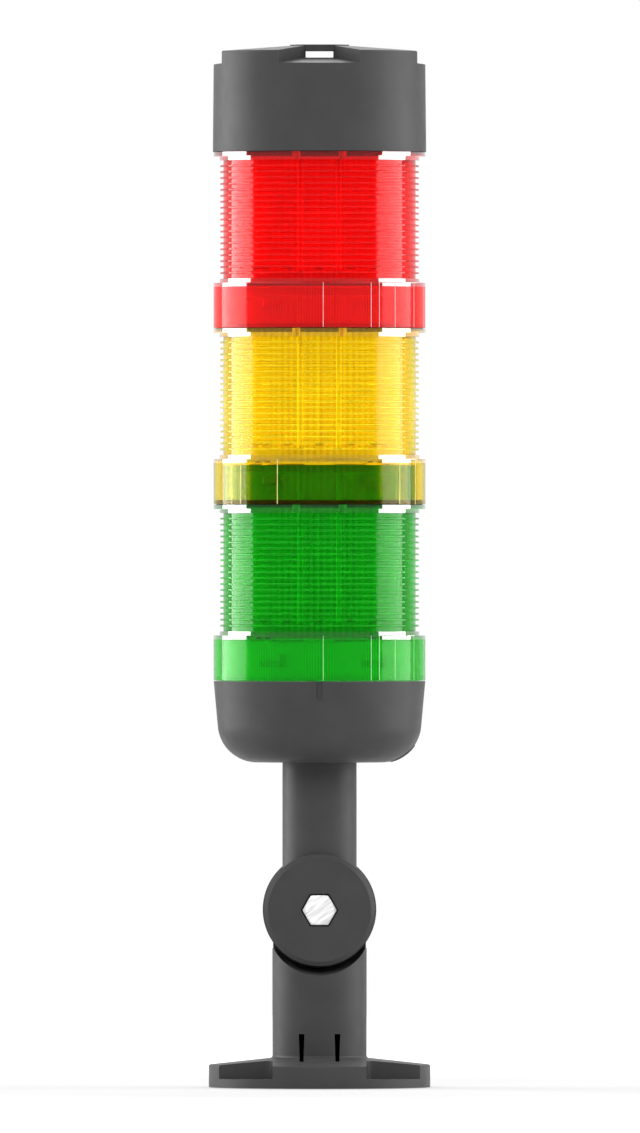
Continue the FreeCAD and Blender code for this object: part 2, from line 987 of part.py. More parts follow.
def make_lens():
    """One clear coloured moulding: collar, ribbed and fluted wall, flange and spigot."""
    body = new_body("lens_body")
    top = lens_top()
    last = f"rib_first + {RIBS - 1} * rib_pitch"
    points = [
        ("collar_bore", "0"),
        ("collar_radius", "0"),
        ("collar_radius", "collar_height"),
        ("band_radius", "collar_height"),
        ("band_radius", "rib_first - rib_pitch"),
    ]
    for i in range(RIBS):
        tip = f"rib_first + {i} * rib_pitch"
        points.append(("rib_root_radius", f"{tip} - rib_pitch / 2"))
        points.append(("rib_tip_radius", tip))
    points += [
        ("rib_root_radius", f"{last} + rib_pitch / 2"),
        ("band_radius", f"{top} - flange_height - band_height"),
        ("band_radius", f"{top} - flange_height"),
        ("flange_radius", f"{top} - flange_height"),
        ("flange_radius", top),
        ("spigot_radius", top),
        ("spigot_radius", f"{top} + spigot_height"),
        ("lens_bore", f"{top} + spigot_height"),
        ("lens_bore", "shoulder_height"),
        ("collar_bore", "shoulder_height"),
    ]
    turned(body, "Revolution", outline(body, "XZ_Plane", points))
    add_lugs(body, top)
    add_ledges(body)
    pip = outline(
        body,
        "XY_Plane",
        [
            ("-pip_width / 2", "-band_radius + root_overlap"),
            ("pip_width / 2", "-band_radius + root_overlap"),
            ("0", "-pip_radius"),
        ],
        ("0", "0", f"{top} - flange_height - pip_height"),
    )
    extruded(body, "Pad", pip, "pip_height + 0.1")
    lens = doc.addObject("Part::Cut", "lens_cut")
    lens.Base = body
    lens.Tool = flute_cutter()
    return lens


def flute_cutter():
    """A star-shaped bar that leaves upright V flutes on the lens's inner wall."""
    cutter = doc.addObject("Part::Feature", "flute_cutter")
    corners = []
    for i in range(2 * FLUTES):
        radius = sheet.lens_bore + (sheet.flute_depth if i % 2 else -0.01)
        angle = math.pi * i / FLUTES
        corners.append(
            FreeCAD.Vector(
                radius * math.cos(angle),
                radius * math.sin(angle),
                sheet.shoulder_height - 1,
            )
        )
    face = Part.Face(Part.makePolygon(corners + corners[:1]))
    top = sheet.lens_pitch - sheet.seam - sheet.flange_height
    cutter.Shape = face.extrude(
        FreeCAD.Vector(0, 0, top - sheet.shoulder_height + 1)
    )
    return cutter


def make_seal_ring():
    """The black ring on the flange, round the spigot's root, with a rounded lip."""
    body = new_body("seal_ring_body")
    inner = "spigot_radius + ring_clearance"
    section = outline(
        body,
        "XZ_Plane",
        [
            (inner, lens_top()),
            ("lug_radius", lens_top()),
            ("lug_radius", f"{lens_top()} + ring_shoulder"),
            ("(spigot_radius + lug_radius) / 2", f"{lens_top()} + ring_height"),
            (inner, f"{lens_top()} + ring_height"),
        ],
    )
    turned(body, "Revolution", section)
    return body


def pin_foot():
    """The height of a module's pins, just above the tracks of the part below."""
    return "spigot_height - seam + track_thickness + pin_gap"


def make_contact_base():
    """The insulating disc at the foot of the lens, with holes for its pins and rods."""
    body = new_body("contact_base_body")
    low = "shoulder_height + disc_lift"
    disc = circles(
        body,
        "XY_Plane",
        [("0", "0", "lens_bore - disc_clearance")],
        ("0", "0", low),
    )
    extruded(body, "Pad", disc, "disc_height")
    hole = pin_hole(body, "pin_circle", "pin_radius + ring_clearance", low)
    bored = extruded(body, "Pocket", hole, "disc_height", back=True)
    repeated(body, bored, 4)
    return body


def pin_hole(body, circle, radius, low):
    """One circle of four, on the diagonals of the tower."""
    diagonal = f"{circle} / sqrt(2)"
    return circles(body, "XY_Plane", [(diagonal, f"-{diagonal}", radius)], ("0", "0", low))


def make_contact_pins():
    """Four spring pins that press on the tracks below and rise to the board."""
    body = new_body("contact_pins_body")
    pin = pin_hole(body, "pin_circle", "pin_radius", pin_foot())
    height = f"shoulder_height + disc_lift + disc_height - ({pin_foot()})"
    repeated(body, extruded(body, "Pad", pin, height), 4)
    return body


def board_low():
    return "shoulder_height + disc_lift + disc_height"


def make_led_board():
    """The round circuit board on the contact base."""
    body = new_body("led_board_body")
    radius = "lens_bore - disc_clearance - board_inset"
    disc = circles(body, "XY_Plane", [("0", "0", radius)], ("0", "0", board_low()))
    extruded(body, "Pad", disc, "board_thickness")
    return body


def make_leds():
    """A ring of square light-emitting diodes on the board."""
    body = new_body("leds_body")
    half = "led_size / 2"
    square = outline(
        body,
        "XY_Plane",
        [
            (f"led_ring - {half}", f"-{half}"),
            (f"led_ring + {half}", f"-{half}"),
            (f"led_ring + {half}", half),
            (f"led_ring - {half}", half),
        ],
        ("0", "0", f"{board_low()} + board_thickness"),
    )
    repeated(body, extruded(body, "Pad", square, "led_height"), LEDS)
    return body


def make_contact_rods():
    """Four brass rods that carry the supply up to the next module."""
    body = new_body("contact_rods_body")
    low = f"{board_low()} + board_thickness"
    rod = pin_hole(body, "rod_circle", "rod_radius", low)
    height = f"{lens_top()} + spigot_height - disc_height - ({low})"
    repeated(body, extruded(body, "Pad", rod, height), 4)
    return body


def make_contact_head():
    """The insulating disc in the top of the spigot."""
    body = new_body("contact_head_body")
    low = f"{lens_top()} + spigot_height - disc_height"
    disc = circles(
        body, "XY_Plane", [("0", "0", "lens_bore - ring_clearance")], ("0", "0", low)
    )
    extruded(body, "Pad", disc, "disc_height")
    return body


def make_modules():
    """Each piece once, then a copy of it for every tier."""
    pieces = {
        "lens": make_lens(),
        "seal_ring": make_seal_ring(),
        "contact_base": make_contact_base(),
        "contact_pins": make_contact_pins(),
        "led_board": make_led_board(),
        "leds": make_leds(),
        "contact_rods": make_contact_rods(),
        "contact_head": make_contact_head(),
        "contact_tracks": contact_tracks(
            "contact_tracks_body", f"{lens_top()} + spigot_height"
        ),
    }
    for level, colour in enumerate(TIERS):
        for name, piece in pieces.items():
            copy = doc.addObject("Part::Compound", f"{colour}_{name}_copy")
            copy.Links = [piece]
            height = f"base_top + seam + {level} * lens_pitch"
            sub_part(f"{colour}_{name}", copy, height)


# ---- cap ----


def make_cap():
    """A domed lid with four finger channels that meet in tunnels under its middle disc."""
    body = new_body("cap_body")
    section = outline(
        body,
        "XZ_Plane",
        [
            ("collar_bore", "0"),
            ("cap_low_radius", "0"),
            ("cap_rim_radius", "cap_rim_height"),
            ("cap_plateau_radius", "cap_cone_height"),
            ("cap_plateau_radius", "cap_height"),
            ("0", "cap_height"),
            ("0", "cap_ceiling"),
            ("cap_bore", "cap_ceiling"),
            ("cap_bore", "cap_skirt_height"),
            ("collar_bore", "cap_skirt_height"),
        ],
        turn="45",
    )
    turned(body, "Revolution", section)
    rim = round_edge(sheet.cap_rim_radius, sheet.cap_rim_height)
    dressed(body, "Fillet", rim, Radius="cap_rim_round")
    add_ledges(body)
    add_channels(body)
    ring_piece(
        body,
        "Groove",
        "core_inner",
        "core_outer",
        "cap_ceiling - 1",
        "core_top",
        "45",
        "core_sweep",
        4,
    )
    sub_part("cap", body, f"base_top + seam + {len(TIERS)} * lens_pitch")


def add_channels(body):
    """Four tapering channels with sloping floors, and the two tunnels that join them."""
    reach = "(cap_low_radius + 2)"
    taper = "(channel_rim_half - channel_inner_half)"
    run = "(channel_rim_reach - channel_inner_reach)"
    outer_half = f"channel_inner_half + {taper} / {run} * ({reach} - channel_inner_reach)"
    fall = "(channel_inner_floor - channel_rim_floor)"
    outer_floor = f"channel_inner_floor - {fall} / {run} * ({reach} - channel_inner_reach)"
    wedge = body.newObject("PartDesign::SubtractiveWedge", "channel")
    wedge.Placement = FreeCAD.Placement()
    tie(
        wedge,
        Ymin="channel_inner_reach",
        Ymax=reach,
        Xmin="-channel_inner_half",
        Xmax="channel_inner_half",
        Zmin="channel_inner_floor",
        Zmax="cap_height + 2",
        X2min=f"-({outer_half})",
        X2max=outer_half,
        Z2min=outer_floor,
        Z2max="cap_height + 2",
    )
    doc.recompute()
    repeated(body, wedge, 4)
    for role in ("XZ_Plane", "YZ_Plane"):
        window = outline(
            body,
            role,
            [
                ("-tunnel_half", "tunnel_low"),
                ("tunnel_half", "tunnel_low"),
                ("tunnel_half", "tunnel_high"),
                ("-tunnel_half", "tunnel_high"),
            ],
        )
        extruded(body, "Pocket", window, "2 * channel_inner_reach + 1", middle=True)


def check_and_write():
    """Stops on any failed object or bad shape, then writes one file for each sub-part."""
    doc.recompute()
    bad = [
        o.Name for o in doc.Objects if "Invalid" in o.State or "Error" in o.State
    ]
    if bad:
        raise RuntimeError(f"failed objects: {bad}")
    for part in parts:
        shape = part.Shape
        if shape.isNull() or not shape.isValid() or not shape.Solids:
            raise RuntimeError(f"bad shape: {part.Label}")
    os.makedirs("parts", exist_ok=True)
    for part in parts:
        part.Shape.exportStep(f"parts/{part.Label}.step")
    print(len(parts), "sub-parts written")


make_foot()
make_hinge_nut()
make_joint_seal()
make_arm()
make_hinge_bolt()
make_base_housing()
make_side_plug()
make_tube_screws()
make_base_carrier()
sub_part("base_tracks", contact_tracks("base_tracks_body", "spigot_height"), "base_top")
make_terminals()
make_modules()
make_cap()
check_and_write()
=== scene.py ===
# %% [markdown]
# # A stack light, from its frame to its finish
# A stack light stands on a machine and shows its state from far off: green for running, yellow for
# attention, red for stopped. The solid parts come from CAD and are loaded as a fixed frame. This
# lesson gives each of them its finish, and adds the fine pieces that CAD leaves out.

# %% Load the frame
import cmath
import math

import bmesh
import bpy
from mathutils import Matrix, Vector


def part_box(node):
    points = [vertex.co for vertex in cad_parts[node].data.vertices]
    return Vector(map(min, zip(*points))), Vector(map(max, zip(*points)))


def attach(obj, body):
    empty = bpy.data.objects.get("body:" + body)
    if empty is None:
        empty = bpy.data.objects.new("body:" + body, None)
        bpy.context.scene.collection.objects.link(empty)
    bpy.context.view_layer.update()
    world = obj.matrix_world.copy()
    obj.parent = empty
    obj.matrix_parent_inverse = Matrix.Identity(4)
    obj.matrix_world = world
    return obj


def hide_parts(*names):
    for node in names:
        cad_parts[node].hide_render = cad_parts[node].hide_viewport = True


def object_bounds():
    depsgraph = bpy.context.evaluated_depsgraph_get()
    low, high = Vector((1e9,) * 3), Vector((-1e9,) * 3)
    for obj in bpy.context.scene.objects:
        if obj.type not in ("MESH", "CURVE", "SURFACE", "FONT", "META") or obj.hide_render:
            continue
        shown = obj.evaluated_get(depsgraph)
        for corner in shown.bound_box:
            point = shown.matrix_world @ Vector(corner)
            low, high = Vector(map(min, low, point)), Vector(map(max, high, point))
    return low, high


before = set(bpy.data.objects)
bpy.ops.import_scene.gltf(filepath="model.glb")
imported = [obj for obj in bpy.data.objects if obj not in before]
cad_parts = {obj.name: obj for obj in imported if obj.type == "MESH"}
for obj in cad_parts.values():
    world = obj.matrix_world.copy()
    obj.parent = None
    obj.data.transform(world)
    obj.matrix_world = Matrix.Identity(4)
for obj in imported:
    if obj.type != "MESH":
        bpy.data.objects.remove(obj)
cad_low, cad_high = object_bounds()
MM = 0.001
TIERS = ("green", "yellow", "red")
print("nodes", len(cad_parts), "height", round(cad_high.z - cad_low.z, 4))

# %% [markdown]
# ## A helper for finishes
# Every finish is one Principled shader. What is the same all over a surface is set on the shader's
# own socket. What varies, such as a slight cloudiness, comes from noise on Object coordinates, so
# it stays with the piece and keeps its real size in metres. A Mix node has sockets of the same name
# for every type of value, so those are reached by number.

# %% Start a finish
NOISE_LOW, NOISE_HIGH = 0.3, 0.7  # noise seldom leaves this range
VALUE_A, VALUE_B, VALUE_OUT = 2, 3, 0  # a Mix node's sockets for plain values
COLOUR_A, COLOUR_B, COLOUR_OUT = 6, 7, 2  # and its sockets for colours


def new_finish(name, colour, roughness, **sockets):
    """A material with one Principled shader; sockets are given by name with _ for a space."""
    finish = bpy.data.materials.new(name)
    finish.use_nodes = True
    shader = shader_of(finish)
    shader.inputs["Base Color"].default_value = (*colour, 1)
    shader.inputs["Roughness"].default_value = roughness
    for socket, value in sockets.items():
        shader.inputs[socket.replace("_", " ")].default_value = value
    return finish


def shader_of(finish):
    """The Principled shader of a finish."""
    return finish.node_tree.nodes["Principled BSDF"]


def add_node(owner, kind, **settings):
    """A node in a finish or a world, with its inputs and properties set by name."""
    node = owner.node_tree.nodes.new(kind)
    for name, value in settings.items():
        title = name.replace("_", " ")
        if title in node.inputs:
            node.inputs[title].default_value = value
        else:
            setattr(node, name, value)
    return node


def join(owner, source, output, target, entry):
    """A link between two nodes, by the names or the numbers of their sockets."""
    owner.node_tree.links.new(source.outputs[output], target.inputs[entry])


def noise_at(finish, size, detail=3.0):
    """Noise whose grains are about size metres across."""
    place = add_node(finish, "ShaderNodeTexCoord")
    noise = add_node(finish, "ShaderNodeTexNoise", Scale=1 / size, Detail=detail)
    join(finish, place, "Object", noise, "Vector")
    return noise


def spread(finish, noise, low, high):
    """Noise mapped to run between two values."""
    ramp = add_node(
        finish, "ShaderNodeMapRange",
        From_Min=NOISE_LOW, From_Max=NOISE_HIGH, To_Min=low, To_Max=high,
    )
    join(finish, noise, "Fac", ramp, "Value")
    return ramp


def mix_colours(finish, dark, light):
    """A node that runs from a dark tone to a light one as its Factor rises from 0 to 1."""
    mix = add_node(finish, "ShaderNodeMix", data_type="RGBA")
    mix.inputs[COLOUR_A].default_value = (*dark, 1)
    mix.inputs[COLOUR_B].default_value = (*light, 1)
    return mix


def paint(finish, mix):
    """Gives the colour of a mix to the shader."""
    join(finish, mix, COLOUR_OUT, shader_of(finish), "Base Color")


def vary_roughness(finish, size, low, high):
    """Roughness that drifts between two values over a given size."""
    ramp = spread(finish, noise_at(finish, size), low, high)
    join(finish, ramp, "Result", shader_of(finish), "Roughness")


def vary_colour(finish, size, dark, light):
    """Colour that drifts between two tones over a given size."""
    mix = mix_colours(finish, dark, light)
    join(finish, spread(finish, noise_at(finish, size), 0.0, 1.0), "Result", mix, "Factor")
    paint(finish, mix)


def add_grain(finish, size, height, strength):
    """Bumps of a given size and height, in metres, as a mould leaves."""
    bump = add_node(finish, "ShaderNodeBump", Strength=strength, Distance=height)
    join(finish, noise_at(finish, size, 2.0), "Fac", bump, "Height")
    join(finish, bump, "Normal", shader_of(finish), "Normal")


print("finish helpers ready")

# %% [markdown]
# ## Charcoal plastic
# The foot, arm, bowl and cap are moulded in a dark glass-filled nylon. Its mould is spark-eroded,
# so the surface has a very fine grain and a soft sheen that brightens near the edges. A noise bump
# with grains of 0.25 mm and a height of 12 micrometres gives that without any drawn pattern.

# %% Make the charcoal plastic
charcoal = new_finish("charcoal_nylon", (0.046, 0.046, 0.047), 0.42, Specular_IOR_Level=0.1)
vary_colour(charcoal, 0.012, (0.043, 0.043, 0.044), (0.049, 0.049, 0.05))
vary_roughness(charcoal, 0.004, 0.38, 0.47)
add_grain(charcoal, 0.00025, 0.000012, 0.6)
print("made", charcoal.name)

# %% [markdown]
# ## Clear coloured plastic
# The lens of each tier is polycarbonate, dyed through. It lets most light pass and tints it. The
# rest is scattered by the dye, so a tier looks evenly coloured from the front. Transmission alone
# would look like glass, and base colour alone like paint, so the two share the shader. The bands
# above and below the ribs and the flange are polished in the mould, so they mirror a lamp harder.

# %% Make the lens plastics
LENS_TINTS = {
    "green": (0.02, 0.6, 0.03),
    "yellow": (1.0, 0.83, 0.02),
    "red": (1.0, 0.02, 0.02),
}


def clear_plastic(name, tint):
    """A dyed clear plastic with the faint waviness of a moulding."""
    finish = new_finish(name, tint, 0.02, IOR=1.25, Transmission_Weight=0.87)
    vary_roughness(finish, 0.006, 0.012, 0.03)
    return finish


def polished_plastic(name, tint):
    """The same plastic where the mould is polished, with a hard clear gloss."""
    finish = new_finish(
        name, tint, 0.03, IOR=1.5, Transmission_Weight=0.97,
        Coat_Weight=1.0, Coat_IOR=2.2, Coat_Roughness=0.03,
    )
    vary_roughness(finish, 0.006, 0.02, 0.05)
    return finish


lens_finish = {
    tier: clear_plastic(f"{tier}_polycarbonate", tint) for tier, tint in LENS_TINTS.items()
}
band_finish = {
    tier: polished_plastic(f"{tier}_polished_band", tint) for tier, tint in LENS_TINTS.items()
}
print("made", [m.name for m in (*lens_finish.values(), *band_finish.values())])

# %% [markdown]
# ### Waves round the tower
# The collar carries fine upright streaks of painted shade in its own colour. They need a wave that
# changes only with the angle round the tower. The angle comes from the x and y of the object
# coordinates. The same wave, coarser, paints shade on the ribbed wall where its flutes stand, and a
# painted highlight makes the crests of the ribs a little paler than the hollows.

# %% Paint flute shade and crest highlights on the ribbed walls
FLUTES = 90  # waves round the ribbed wall, one for each flute in its bore
STREAKS = 235  # waves round the collar
WAVES_PER_PATCH = 12  # how many waves rise and fade together
WAVE_SPAN = 0.4  # how far from zero the uneven wave usually goes
# The flutes get painted shade, darker by these factors, and the rib crests a painted highlight.
HOLLOW_SHADE = (0.92, 0.76, 0.76)
CREST_LOW, CREST_HIGH = 0.0323, 0.0327  # radii between which a rib turns pale
CREST_HIGHLIGHT_BASE, CREST_HIGHLIGHT_GAIN = 0.04, 1.16


def wave_of_angle(finish, count):
    """A node with a wave round the Z axis, uneven from place to place, from about -1 to 1."""
    place = add_node(finish, "ShaderNodeTexCoord")
    split = add_node(finish, "ShaderNodeSeparateXYZ")
    angle = add_node(finish, "ShaderNodeMath", operation="ARCTAN2")
    turns = add_node(finish, "ShaderNodeMath", operation="MULTIPLY")
    turns.inputs[1].default_value = count
    wave = add_node(finish, "ShaderNodeMath", operation="SINE")
    noise = add_node(
        finish, "ShaderNodeTexNoise",
        noise_dimensions="1D", Scale=count / WAVES_PER_PATCH, Detail=3.0,
    )
    both = add_node(finish, "ShaderNodeMath", operation="MULTIPLY")
    join(finish, place, "Object", split, "Vector")
    join(finish, split, "Y", angle, 0)
    join(finish, split, "X", angle, 1)
    join(finish, angle, 0, turns, 0)
    join(finish, angle, 0, noise, "W")
    join(finish, turns, 0, wave, 0)
    join(finish, wave, 0, both, 0)
    join(finish, noise, "Fac", both, 1)
    return both


def crest_highlight_mask(finish, low, high):
    """A node that rises from 0 to 1 between two distances from the Z axis, in metres."""
    place = add_node(finish, "ShaderNodeTexCoord")
    flat = add_node(finish, "ShaderNodeMapping", Scale=(1, 1, 0))
    reach = add_node(finish, "ShaderNodeVectorMath", operation="LENGTH")
    ramp = add_node(finish, "ShaderNodeMapRange", From_Min=low, From_Max=high)
    join(finish, place, "Object", flat, "Vector")
    join(finish, flat, "Vector", reach, 0)
    join(finish, reach, "Value", ramp, "Value")
    return ramp


def tint_by_angle(finish, count, dark, light):
    """Colour that runs between two tones with the angle round the Z axis."""
    ramp = add_node(finish, "ShaderNodeMapRange", From_Min=-WAVE_SPAN, From_Max=WAVE_SPAN)
    mix = mix_colours(finish, dark, light)
    join(finish, wave_of_angle(finish, count), 0, ramp, "Value")
    join(finish, ramp, "Result", mix, "Factor")
    paint(finish, mix)
    return mix


# Each lens wall: painted shade along its flutes, then a painted highlight on its rib crests.
for tier, tint in LENS_TINTS.items():
    finish = lens_finish[tier]
    hollow = tuple(shade * part for shade, part in zip(HOLLOW_SHADE, tint))
    crest = tuple(min(1.0, CREST_HIGHLIGHT_BASE + CREST_HIGHLIGHT_GAIN * part) for part in tint)
    flute_shaded = tint_by_angle(finish, FLUTES, hollow, tint)
    crest_highlighted = mix_colours(finish, tint, crest)
    join(finish, crest_highlight_mask(finish, CREST_LOW, CREST_HIGH), "Result", crest_highlighted, "Factor")
    join(finish, flute_shaded, COLOUR_OUT, crest_highlighted, COLOUR_A)
    paint(finish, crest_highlighted)
print("tinted", [m.name for m in lens_finish.values()])

# %% [markdown]
# ### Collars, frosted lines and ledges
# The collar is duller than the ribbed wall, and each tier's lets a different share of light pass.
# The upright lines on it are painted glints: thin pale pieces where the side lamps leave bright
# streaks. The ledges inside it are seen through it and are tinted by it, so their own plastic is
# almost without colour.

# %% Make the collars, with painted shade in upright streaks
COLLAR_TINTS = {
    "green": ((0.045, 0.68, 0.06), 0.88),
    "yellow": ((1.0, 0.8, 0.03), 1.0),
    "red": ((1.0, 0.03, 0.03), 0.7),
}
# Pale tones for the painted glint lines.
GLINT_LINE_TONES = {"green": (0.3, 0.7, 0.3), "yellow": (0.9, 0.75, 0.28), "red": (0.85, 0.4, 0.4)}
STREAK_SHADE, LINE_SHADE = 0.8, 0.75
LEDGE_DARK, LEDGE_LIGHT = 0.08, 0.03  # powers that wash a lens tint out almost to white
collar_finish = {}
# Each collar's colour darkens in fine upright streaks round it: painted shade.
for tier, (tint, clearness) in COLLAR_TINTS.items():
    collar_finish[tier] = new_finish(
        f"{tier}_collar_plastic", tint, 0.06,
        IOR=1.25, Specular_IOR_Level=0.08, Transmission_Weight=clearness,
    )
    vary_roughness(collar_finish[tier], 0.006, 0.05, 0.12)
    tint_by_angle(collar_finish[tier], STREAKS, tuple(STREAK_SHADE * c for c in tint), tint)
glint_line_finish = {}
for tier, tone in GLINT_LINE_TONES.items():
    glint_line_finish[tier] = new_finish(f"{tier}_painted_glint_line", tone, 0.6)
    vary_colour(glint_line_finish[tier], 0.004, tuple(LINE_SHADE * c for c in tone), tone)
ledge_finish = {}
for tier, tint in LENS_TINTS.items():
    ledge_finish[tier] = new_finish(
        f"{tier}_ledge_plastic", tint, 0.1, IOR=1.04, Transmission_Weight=1.0
    )
    tones = [tuple(c ** power for c in tint) for power in (LEDGE_DARK, LEDGE_LIGHT)]
    vary_colour(ledge_finish[tier], 0.003, *tones)
for made in (collar_finish, glint_line_finish, ledge_finish):
    print("made", [m.name for m in made.values()])

# %% [markdown]
# ## Rubber, metals and the insulating plastic
# Seals are dull black rubber. The joint bolt is zinc-plated steel whose head was brushed along one
# slanting direction, so its grain is a noise stretched along that line. The contact rods are nickel
# plated, and the other contacts are brass with cloudy tarnish. The insulators are a plain light
# grey moulding.

# %% Make the small parts' finishes
BRUSH_SLANT, BRUSH_STRETCH, BRUSH_WIDTH = -33, 12.0, 0.0007  # degrees, times, metres
LED_TINTS = {"green": (0.55, 0.85, 0.5), "yellow": (0.95, 0.8, 0.35), "red": (0.95, 0.6, 0.55)}

rubber = new_finish("black_rubber", (0.024, 0.024, 0.024), 0.62)
vary_roughness(rubber, 0.002, 0.55, 0.75)
add_grain(rubber, 0.0003, 0.00001, 0.5)

steel = new_finish("brushed_zinc_steel", (0.9, 0.9, 0.91), 0.4, Metallic=0.5)
vary_roughness(steel, 0.0004, 0.35, 0.55)
place = add_node(steel, "ShaderNodeTexCoord")
slant = add_node(
    steel, "ShaderNodeMapping", vector_type="TEXTURE",
    Rotation=(0, math.radians(BRUSH_SLANT), 0), Scale=(BRUSH_STRETCH, 1.0, 1.0),
)
hatch = add_node(steel, "ShaderNodeTexNoise", Scale=1 / BRUSH_WIDTH, Detail=2.0)
join(steel, place, "Object", slant, "Vector")
join(steel, slant, "Vector", hatch, "Vector")
strokes = mix_colours(steel, (0.62, 0.62, 0.63), (0.97, 0.97, 0.97))
join(steel, spread(steel, hatch, 0.0, 1.6), "Result", strokes, "Factor")
paint(steel, strokes)

# A near-black finish that paints the shade of narrow gaps: round the bolt head and under each
# collar.
gap_shade_finish = new_finish("painted_gap_shade_black", (0.004, 0.004, 0.004), 0.7, Specular_IOR_Level=0.15)
vary_roughness(gap_shade_finish, 0.001, 0.6, 0.8)

nickel = new_finish("nickel_plate", (0.92, 0.92, 0.9), 0.35, Metallic=0.35)
vary_colour(nickel, 0.003, (0.86, 0.86, 0.83), (0.95, 0.95, 0.93))
vary_roughness(nickel, 0.001, 0.25, 0.45)

brass = new_finish("contact_brass", (0.72, 0.5, 0.2), 0.28, Metallic=1.0)
vary_colour(brass, 0.003, (0.6, 0.4, 0.16), (0.8, 0.58, 0.26))
vary_roughness(brass, 0.001, 0.2, 0.4)

insulator = new_finish("insulating_plastic", (0.8, 0.8, 0.78), 0.45)
vary_colour(insulator, 0.008, (0.78, 0.78, 0.76), (0.83, 0.83, 0.81))
add_grain(insulator, 0.0003, 0.00001, 0.5)

board = new_finish("white_solder_resist", (0.75, 0.75, 0.72), 0.3)
vary_colour(board, 0.005, (0.7, 0.7, 0.67), (0.8, 0.8, 0.77))
vary_roughness(board, 0.001, 0.25, 0.4)

led_finish = {}
for tier, tint in LED_TINTS.items():
    led_finish[tier] = new_finish(f"{tier}_led_package", tint, 0.3)
    vary_colour(led_finish[tier], 0.0015, tuple(0.8 * c for c in tint), tint)
print("made the finishes of the small parts")

# %% [markdown]
# ## Give the CAD nodes their finishes
# A CAD node keeps its shape. Only what its material slots hold changes.

# %% Dress the frame
FINISH_OF = {
    "foot": charcoal,
    "arm": charcoal,
    "base_housing": charcoal,
    "cap": charcoal,
    "side_plug": charcoal,
    "joint_seal": rubber,
    "hinge_bolt": steel,
    "hinge_nut": steel,
    "tube_screws": steel,
    "terminal_screws": steel,
    "base_carrier": insulator,
    "terminal_block": insulator,
    "base_tracks": brass,
}
for tier in TIERS:
    FINISH_OF[f"{tier}_lens"] = lens_finish[tier]
    FINISH_OF[f"{tier}_seal_ring"] = rubber
    FINISH_OF[f"{tier}_contact_base"] = insulator
    FINISH_OF[f"{tier}_contact_head"] = insulator
    FINISH_OF[f"{tier}_contact_pins"] = brass
    FINISH_OF[f"{tier}_contact_rods"] = nickel
    FINISH_OF[f"{tier}_contact_tracks"] = brass
    FINISH_OF[f"{tier}_led_board"] = board
    FINISH_OF[f"{tier}_leds"] = led_finish[tier]
for name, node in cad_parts.items():
    node.data.materials.clear()
    node.data.materials.append(FINISH_OF[name])
print("dressed", len(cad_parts), "nodes")

# %% [markdown]
# ## The lens of one tier
# A real lens is one clear moulding: a collar that slips over the tier below, a ribbed drum, a
# flange and a spigot with lugs. Its looks come from the ribs and from fine upright flutes inside.
# The flutes of the frame's lens are deeper, so a finer lens stands in its place. It is a profile,
# spun once round, and it keeps to the same heights and fits.

# %% Measure the lens and set its heights
collar_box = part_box("green_lens")
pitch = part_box("yellow_lens")[0].z - collar_box[0].z
seat = {tier: collar_box[0].z + level * pitch for level, tier in enumerate(TIERS)}
COLLAR, BORE, COLLAR_BORE = 34.97 * MM, 29.8 * MM, 33.05 * MM
BAND, ROOT, CREST, SPIGOT = 33.0 * MM, 31.75 * MM, 32.85 * MM, 31.9 * MM
FLANGE = COLLAR - 0.02 * MM
COLLAR_TOP, SHOULDER, RIBS_LOW, RIBS_HIGH = 14.9 * MM, 13.9 * MM, 17.14 * MM, 54.38 * MM
BAND_LOW, FLANGE_LOW, FLANGE_TOP = 55.27 * MM, 56.6 * MM, 57.95 * MM
RIB_COUNT = 19
LIP_OUTER, REBATE, RIM = 34.4 * MM, 1.4 * MM, 1.3 * MM
SOFT = 0.12 * MM  # the small slope that breaks an outer edge
print("seats", {tier: round(z, 5) for tier, z in seat.items()}, "pitch", round(pitch, 5))

# %% [markdown]
# The ribs' own shape is a short list of steps: how far up the pitch, and how far out from the root.
# The hollow is flat and wide, the flanks are steep, and the crest is flat and narrow. The whole
# section is then one closed line of points in the XZ plane. The flutes fade out at both ends, so
# the bore has two points close together there.

# %% Draw the section
HALF_RIB = ((0.0, 0.0), (0.29, 0.0), (0.35, 0.92), (0.385, 1.0), (0.5, 1.0))
LOW_BAND_TOP, LOW_BAND_END = COLLAR_TOP + 1.3 * MM, COLLAR_TOP + 1.35 * MM
HIGH_BAND_START = BAND_LOW - 0.05 * MM
FLUTES_FADE, FLUTES_LOW = SHOULDER + 2 * MM, SHOULDER + 2.4 * MM
FLUTES_HIGH, FLUTES_END = BAND_LOW, BAND_LOW + 0.4 * MM


def rib_line():
    """Points of all ribs from the lowest hollow to the highest."""
    rib_pitch = (RIBS_HIGH - RIBS_LOW) / RIB_COUNT
    fall = [(1 - up, out) for up, out in reversed(HALF_RIB[1:-1])]
    line = []
    for rib in range(RIB_COUNT):
        for up, out in [*HALF_RIB, *fall]:
            line.append((ROOT + out * (CREST - ROOT), RIBS_LOW + (rib + up) * rib_pitch))
    return line + [(ROOT, RIBS_HIGH)]


